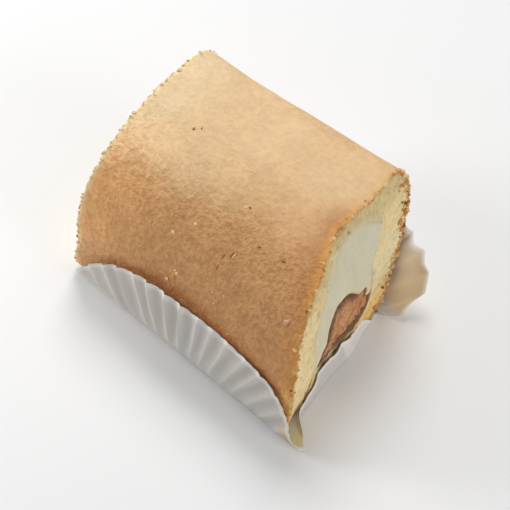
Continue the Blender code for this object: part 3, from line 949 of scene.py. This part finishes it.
def buildPaper():
    lines = wrapLines()
    rim, turn = flatRim()
    count, rings = len(rim), paper["rings"]
    middle, floor = np.array(paper["middle"]), paper["thick"] / 2
    flute, wave, strength = fluteWaves(turn)
    share = ringShares(rim)
    reach = rimWaves(rim, flute, wave)[:, None] * smooth(0.75, 1.0, share) / paper["halfWidth"]
    flat = middle + (rim - middle)[:, None, :] * (share + reach)[..., None]
    x, v, share = flat[..., 0].ravel(), flat[..., 1].ravel(), share.ravel()
    back = v > middle[1]
    height = wrapped(v, np.zeros_like(v), lines)[1]
    # the flutes are flatter along the front right and on the wing
    pressed = np.where(v < middle[1], 0.5 + 0.5 * smooth(56, 34, x), 1.0)
    pressed = pressed * mix(1.0, paper["wingDepth"], smooth(52, 72, x) * back)
    depth = paper["depth"] * smooth(0.5, 0.95, share) * smooth(0.3, 7.0, height) * pressed
    crests = np.repeat(wave ** paper["crestPower"], rings)
    y, z = wrapped(v, depth * (crests * np.repeat(strength, rings)), lines)
    y = y + bulge(x, y, z)
    for out in backOut(x, z, height):
        y = y + np.where(back, out, 0)
    x, z = foldedUp(x, z, v, crests)
    points = np.stack([x, y, z], -1)
    # slight crumples, always away from the roll and up from the floor
    crumple = noise(points, 9, 71) * 0.25 + noise(points, 3, 72) * 0.06
    out = np.where(back, 1.0, -1.0) * np.maximum(0, 0.2 + crumple)
    points[:, 1] += out * smooth(1.5, 8, height)
    up = 0.06 * np.maximum(0, noise(points, 6, 73))
    points[:, 2] = np.maximum(points[:, 2] + up, floor)
    points = np.concatenate([points, [(*middle, floor)]])
    piece = makeMesh("paperCase", points, paperFaces(count, rings))
    wall = piece.modifiers.new("thickness", "SOLIDIFY")
    wall.thickness = paper["thick"] * mm
    wall.offset = 0.0
    paint(piece, "tone", paperTones(x, v, height, crests, share))
    return piece


paperPiece = buildPaper()
paperPiece.data.materials.append(paintedMaterial("caseWhitePaper", paper))
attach(paperPiece, "root")
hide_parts("paper_case")
print("paper case built", len(paperPiece.data.polygons))


# crumbs
crumbs = {
    # for each place: how many, their size, and the shares that are pale, and pale or golden
    "rightRim": (260, 1.0, 0.45, 0.98), "backRim": (430, 1.45, 0.55, 0.88),
    "leftRim": (300, 1.05, 0.94, 1.0),
    "skin": (26, 0.6, 0.8, 0.97), "footLine": (40, 0.6, 0.8, 0.97),
    "sizes": (0.18, 0.62), "fewLarge": 2.2, "flat": 0.85, "lumps": 0.28,
    "rimSpread": 0.55, "backSpread": 2.4, "tries": 8, "lowest": 2.0,
    "paleTone": (248, 214, 160), "goldTone": (226, 164, 92), "brownTone": (166, 110, 64),
    "pinkTone": (226, 170, 140),
    # chips and scratches: place, half length, half width, turn from along the roll, tone
    "chips": ((32.5, 11.5, 38.3, 0.65, 0.5, 0, "pale"),
              (33.9, 11.2, 37.5, 0.75, 0.25, -60, "brown"),
              (37.5, 15.7, 43.0, 0.6, 0.55, 0, "pale"), (53.1, 15.7, 42.2, 1.2, 0.22, 80, "pale"),
              (52.4, 15.6, 42.1, 1.2, 0.25, 80, "brown"), (58.2, 20.9, 46.1, 0.5, 0.35, 0, "brown"),
              (50.3, 14.2, 40.9, 0.9, 0.22, 85, "brown"), (50.4, 11.7, 38.2, 0.8, 0.2, 85, "brown"),
              (66.9, 21.7, 46.7, 0.6, 0.3, 20, "brown"), (48.4, 27.2, 49.7, 0.5, 0.3, 0, "brown"),
              (47.2, 26.6, 49.5, 0.5, 0.35, 0, "pale"), (38.9, 6.3, 29.4, 0.6, 0.45, 30, "pale"),
              (38.0, 6.6, 29.9, 0.4, 0.35, 0, "pale"), (38.3, 5.6, 27.8, 0.45, 0.4, 0, "gold"),
              (36.5, 4.7, 26.2, 0.5, 0.4, 0, "pale"), (78.1, 11.5, 38.0, 1.5, 0.75, 70, "pink"),
              (78.5, 12.3, 38.8, 0.55, 0.4, 60, "pale"), (17.6, 34.8, 51.7, 1.0, 0.3, 80, "brown"),
              (19.2, 36.4, 51.8, 1.0, 0.3, 80, "brown")),
    "chipLumps": 0.2, "chipLight": 1.1,
}


def onRim(random, name):
    # spots on the rim between the skin and one cut, on either side of the edge
    count, back = crumbs[name][0], name == "backRim"
    tries = count * crumbs["tries"]
    wide = crumbs["rimSpread"] * (crumbs["backSpread"] if back else 1)
    u = random.uniform(0.0, 1.0, tries)
    off = np.abs(random.normal(0, wide, tries))
    onFace = random.random(tries) < 0.5
    v = np.where(onFace, off / 12, 0.0)
    w = np.where(onFace, 0.0, off / 85)
    spots = spongeAt(u, v, w if name == "leftRim" else 1 - w)[:, :3]
    keep = spots[:, 2] > crumbs["lowest"]
    if back:
        keep &= (spots[:, 1] > 52) & (spots[:, 2] < 46)
    return spots[keep][:count]


def chipPoints(random, ball):
    # flat chips that lie on the front wall's slope
    across, slope = np.array((1.0, 0, 0)), np.array((0, 0.68, 0.73))
    normal = np.array((0, -0.73, 0.68))
    for *spot, long, wide, degrees, _ in crumbs["chips"]:
        turn = math.radians(degrees)
        ways = np.stack([(math.cos(turn) * across + math.sin(turn) * slope) * long,
                         (math.cos(turn) * slope - math.sin(turn) * across) * wide,
                         normal * 0.45 * wide])
        uneven = random.normal(0, 1, (len(ball), 1)).clip(-1.5, 1.5)
        yield np.array(spot) + (ball * (1 + crumbs["chipLumps"] * uneven)) @ ways


def buildCrumbs():
    random = np.random.default_rng(23)
    names = ("rightRim", "backRim", "leftRim", "skin", "footLine")
    spots = [onRim(random, name) for name in names[:3]]
    # a few that fell on the skin, and more along the foot of the front wall, just above the paper
    u = random.uniform(0.06, 0.42, crumbs["skin"][0])
    spots.append(spongeAt(u, 0.0, random.uniform(0.05, 0.97, len(u)))[:, :3])
    w = random.uniform(0.2, 0.85, crumbs["footLine"][0])
    spots.append(spongeAt(0.16 + 0.03 * random.normal(0, 1, len(w)), 0.0, w)[:, :3])
    values = np.array([crumbs[name][1:] for name in names])
    gain, pale, gold = np.repeat(values, [len(found) for found in spots], axis=0).T
    spots = np.concatenate(spots)
    count = len(spots)
    low, high = crumbs["sizes"]
    size = low + (high - low) * random.random(count) ** crumbs["fewLarge"]
    size = size * gain

    rounded = bmesh.new()
    bmesh.ops.create_icosphere(rounded, subdivisions=2, radius=1.0)
    ball = np.array([v.co[:] for v in rounded.verts])
    faces = np.array([[v.index for v in f.verts] for f in rounded.faces])
    rounded.free()
    stretch = random.uniform(0.6, 1.25, (count, 1, 3)) * np.array((1, 1, crumbs["flat"]))
    lumpy = 1 + crumbs["lumps"] * random.normal(0, 1, (count, len(ball), 1)).clip(-1.5, 1.5)
    points = spots[:, None, :] + size[:, None, None] * stretch * ball * lumpy
    points = np.concatenate([points, list(chipPoints(random, ball))]).reshape(-1, 3)
    starts = np.arange(len(points) // len(ball)) * len(ball)
    faces = (faces[None] + starts[:, None, None]).reshape(-1, 3)
    piece = makeMesh("looseCrumbs", points, faces)

    c = tonesOf(crumbs)
    draw = random.random(count)
    tone = np.where((draw < gold)[:, None], c["gold"], c["brown"])
    tone = np.where((draw < pale)[:, None], c["pale"], tone)
    tone = tone * random.uniform(0.85, 1.1, (count, 1))
    chips = [crumbs["chipLight"] * c[chip[-1]] for chip in crumbs["chips"]]
    paint(piece, "crumb", np.repeat(np.concatenate([tone, chips]), len(ball), axis=0))
    return piece


crumbPiece = buildCrumbs()
crumbPiece.data.materials.append(spongePiece.data.materials[1])
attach(crumbPiece, "root")
print("crumbs built", len(crumbPiece.data.polygons))


# floor, light and camera
studio = {
    "floorTone": (244, 244, 244), "floorHalf": 3, "world": 0.32,
    "key": 8.3, "keyAt": (-0.50, 0.58, 0.95), "keySize": 0.6,
    "fill": 2.8, "fillAt": (0.9, 0.1, 0.42), "fillSize": 0.6,
    "side": 0.38, "sideAt": (-0.28, -0.15, 0.19), "sideSize": 0.12,
    "cameraAt": (476.6, -408.7, 846.5), "aimAt": (45.6, 32.0, 20.0), "lens": 247.7,
}


def faceBack(item, way):
    # turns a light or camera so that it looks against this way
    item.rotation_euler = Vector(way).to_track_quat("Z", "Y").to_euler()
    scene.collection.objects.link(item)


def buildStudio():
    far = studio["floorHalf"]
    corners = [(-far, -far, 0), (far, -far, 0), (far, far, 0), (-far, far, 0)]
    mesh = bpy.data.meshes.new("floor")
    mesh.from_pydata(corners, [], [(0, 1, 2, 3)])
    floor = bpy.data.objects.new("floor", mesh)
    scene.collection.objects.link(floor)
    material, shader, _, _ = nodeMaterial("floorMatte")
    shader.inputs["Base Color"].default_value = (*linear(*studio["floorTone"]), 1)
    shader.inputs["Roughness"].default_value = 0.9
    mesh.materials.append(material)
    world = bpy.data.worlds.new("softRoom")
    world.use_nodes = True
    background = world.node_tree.nodes["Background"]
    background.inputs["Color"].default_value = (1.0, 1.0, 1.0, 1)
    background.inputs["Strength"].default_value = studio["world"]
    scene.world = world
    for name in ("key", "fill", "side"):
        light = bpy.data.lights.new(name + "Light", "AREA")
        light.energy = studio[name]
        light.shape = "DISK"
        light.size = studio[name + "Size"]
        lamp = bpy.data.objects.new(name + "Light", light)
        lamp.location = studio[name + "At"]
        faceBack(lamp, lamp.location)


def buildCamera():
    data = bpy.data.cameras.new("view")
    data.lens = studio["lens"]
    data.clip_start = 0.01
    camera = bpy.data.objects.new("view", data)
    place, aim = ((np.array(studio[name]) + rowShift) * mm for name in ("cameraAt", "aimAt"))
    camera.location = place
    faceBack(camera, place - aim)
    scene.camera = camera


buildStudio()
buildCamera()
scene.view_settings.view_transform = "Standard"
scene.view_settings.look = "None"
print("studio and camera set")
